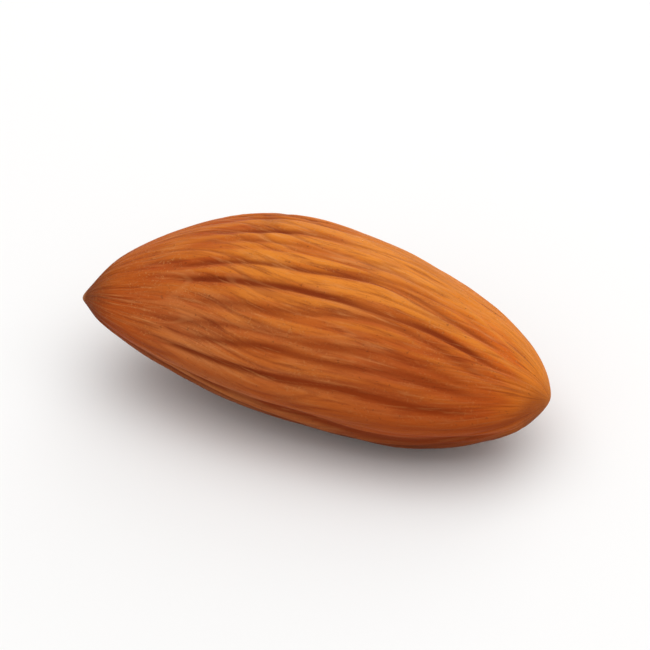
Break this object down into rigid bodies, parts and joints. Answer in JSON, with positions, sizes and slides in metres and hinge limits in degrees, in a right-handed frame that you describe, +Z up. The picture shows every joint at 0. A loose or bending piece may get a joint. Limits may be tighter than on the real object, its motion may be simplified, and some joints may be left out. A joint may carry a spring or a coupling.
{
  "type": "almond kernel",
  "caption": "Shelled almond kernel in its ridged brown skin, teardrop-shaped, lying on one broad face.",
  "frame": {"origin": "centre of the kernel's footprint, on the surface that it rests on", "axes": "X runs from the pointed tip at -X to the blunt end at +X, Y is the breadth with the fuller edge at +Y and the seam at -Y, and +Z is up"},
  "size_m": [0.0244, 0.013, 0.0081],
  "materials": {
    "skin": "dry matte orange-brown seed skin with darker lengthwise furrows"
  },
  "bodies": {
    "root": {"almond_kernel": "skin"}
  },
  "joints": []
}
